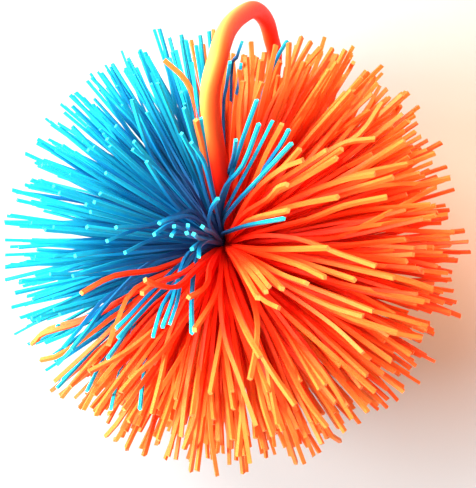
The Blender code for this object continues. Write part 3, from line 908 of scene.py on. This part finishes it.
def loop_mesh(line):
    """A closed ring of round cord along the line."""
    bm = bmesh.new()
    around = bm.verts.layers.float.new("around")
    sunny = bm.verts.layers.float.new("sunny")
    faded = bm.verts.layers.float.new("faded")
    ring = bmesh.ops.create_circle(bm, segments=CORD_SIDES, radius=1.0)["verts"]
    for vert in ring:
        vert[around] = math.atan2(vert.co.y, vert.co.x)
    edges = first = bm.edges[:]
    for i, place in enumerate(line):
        if i:
            made = bmesh.ops.extrude_edge_only(bm, edges=edges)["geom"]
            ring = [g for g in made if isinstance(g, bmesh.types.BMVert)]
            edges = [g for g in made if isinstance(g, bmesh.types.BMEdge)]
        outer = ease(*OUTSIDE, place.length)
        ahead = (line[(i + 1) % len(line)] - line[i - 1]).normalized()
        side = (LOOP_PLANE - ahead * LOOP_PLANE.dot(ahead)).normalized()
        out = ahead.cross(side)
        for vert in ring:
            away = side * math.cos(vert[around]) + out * math.sin(vert[around])
            vert.co = place + away * cord_radius(place.length)
            # Painted light: how far this spot faces the window
            vert[sunny] = away.dot(PAINTED_SUN_DIRECTION) * outer
            # Painted light outside the ball, painted shade on the right leg
            vert[faded] = PAINTED_LIGHT_OUTSIDE * outer - PAINTED_SHADE_RIGHT * ease(*RIGHT_LEG, place.x)
    bmesh.ops.bridge_loops(bm, edges=first + edges)
    bmesh.ops.recalc_face_normals(bm, faces=bm.faces)
    for face in bm.faces:
        face.smooth = True
    bmesh.ops.translate(bm, vec=CENTRE, verts=bm.verts)
    put_in_order(bm)
    return as_mesh(bm, "finger_loop")


loop = loop_mesh(loop_line)
print(f"{len(loop.polygons)} faces in the finger loop")

# %% [markdown]
# The cord is smoother than the strands, because it is moulded and not cut. Its colour is painted light
# and shade: golden on the side that faces the window, orange along the leg and almost red on the other
# side and where it enters the ball. An image wrapped round the cord could give the colours, but its seam
# would show. Here the mesh carries how far each spot faces the window and how much it is painted lighter
# outside the ball or darker on the right leg, and a ramp over their sum gives the colour.

# %% Rubber of the loop
PAINTED_SUN_STRENGTH = 0.30  # painted light: how much lighter the cord is painted on the side that faces the window
cord = Finish("loop_rubber", Specular_IOR_Level=0.12)
# Painted light and shade set how golden or red the cord is painted
painted_light_on_cord = cord.attribute("sunny") * PAINTED_SUN_STRENGTH + cord.attribute("faded")
cord_colour_with_painted_light = cord.ramp(painted_light_on_cord, (0.0, (1.0, 0.009, 0.003)), (0.24, (1.0, 0.04, 0.008)),
                (0.50, (1.0, 0.135, 0.022)), (0.76, (1.0, 0.47, 0.085)))
skin = cord.noise(scale=2500.0, detail=3.0)
loop_rubber = cord.finish(cord_colour_with_painted_light, roughness=SATIN + skin * 0.12, bump=skin, depth=0.03 * MM)
add_piece("finger_loop", loop, loop_rubber)
print("finger loop put in place")

# %% [markdown]
# The cable tie is deep inside, and only a glint of it could ever be seen between the strands. It could be
# modelled again with teeth on its strap, which nobody would see. The solid already has its strap, head
# and tail, so it keeps its mesh and gets a milky nylon with a faint moulding grain.

# %% Nylon of the tie
nylon = Finish("nylon", Specular_IOR_Level=0.5, Subsurface_Weight=0.1)
cloud = nylon.noise(scale=1400.0)
grain = nylon.noise(scale=9000.0)
milky = nylon.mix(cloud, (0.80, 0.80, 0.76), (0.70, 0.70, 0.66))
tie_nylon = nylon.finish(milky, roughness=0.36 + cloud * 0.2, bump=grain, depth=0.02 * MM)
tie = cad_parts["core_tie"]
tie.data.materials.clear()
tie.data.materials.append(tie_nylon)
print("tie finished")

# %% [markdown]
# The ball lies on a plain pale table. A plane could be shaded flat white, but a faint cloudiness keeps
# the soft shadows on it from looking like a gradient.

# %% Table
bm = bmesh.new()
bmesh.ops.create_grid(bm, x_segments=1, y_segments=1, size=1.5)
table = add_object("table", as_mesh(bm, "table"))
paper = Finish("pale_table", Specular_IOR_Level=0.2)
fibre = paper.noise(scale=60.0, detail=4.0)
white = paper.mix(fibre, (0.435, 0.433, 0.430), (0.423, 0.421, 0.418))
table.data.materials.append(paper.finish(white, roughness=0.75, bump=fibre, depth=0.05 * MM))
print("table laid")

# %% [markdown]
# Soft daylight comes in from the left through two windows, the brighter one at the picture's left and the
# other at its upper left. They give the cyan rim, the golden edge of the loop and the soft shadow at the
# lower right. A small warm lamp tints the table beside the ball, as light does that has gone through
# orange rubber, and a pale sky fills in the rest. A lit panorama could do all of it, but it would be an
# image, and single lamps are easier to steer.

# %% Light
WINDOW_DISTANCE = 0.42
WINDOW_SIZE = 0.22
DAYLIGHT = (1.0, 0.99, 0.98)
LAMP_PLACE = Vector((0.130, 0.050, 0.240))
LAMP_AIM = Vector((0.053, 0.012, 0.0))


def add_window(name, azimuth, elevation, strength):
    """A square soft light that looks at the ball; its strength is what reaches the ball, as for a sun."""
    light = bpy.data.lights.new(name, "AREA")
    light.size, light.color = WINDOW_SIZE, DAYLIGHT
    light.energy = strength * math.pi * WINDOW_DISTANCE ** 2
    window = add_object(name, light)
    away = spherical(math.pi / 2 - elevation, azimuth, WINDOW_DISTANCE)
    window.location = CENTRE + away
    window.rotation_euler = away.to_track_quat("Z", "Y").to_euler()


add_window("left_window", azimuth=183 * DEG, elevation=40 * DEG, strength=7.9)
add_window("far_window", azimuth=125 * DEG, elevation=44 * DEG, strength=4.5)
glow = bpy.data.lights.new("lamp", "SPOT")
glow.energy, glow.color = 4.5, (1.0, 0.30, 0.0)
glow.spot_size, glow.spot_blend, glow.shadow_soft_size = 26 * DEG, 1.0, 0.03
lamp = add_object("lamp", glow)
lamp.location = LAMP_PLACE
lamp.rotation_euler = (LAMP_PLACE - LAMP_AIM).to_track_quat("Z", "Y").to_euler()
sky = bpy.data.worlds.new("sky")
sky.use_nodes = True
sky.node_tree.nodes["Background"].inputs["Color"].default_value = (0.99, 0.91, 0.90, 1.0)
sky.node_tree.nodes["Background"].inputs["Strength"].default_value = 0.72
bpy.context.scene.world = sky
bpy.context.scene.view_settings.view_transform = "Standard"
print(f"{len(bpy.data.lights)} lights and a sky")
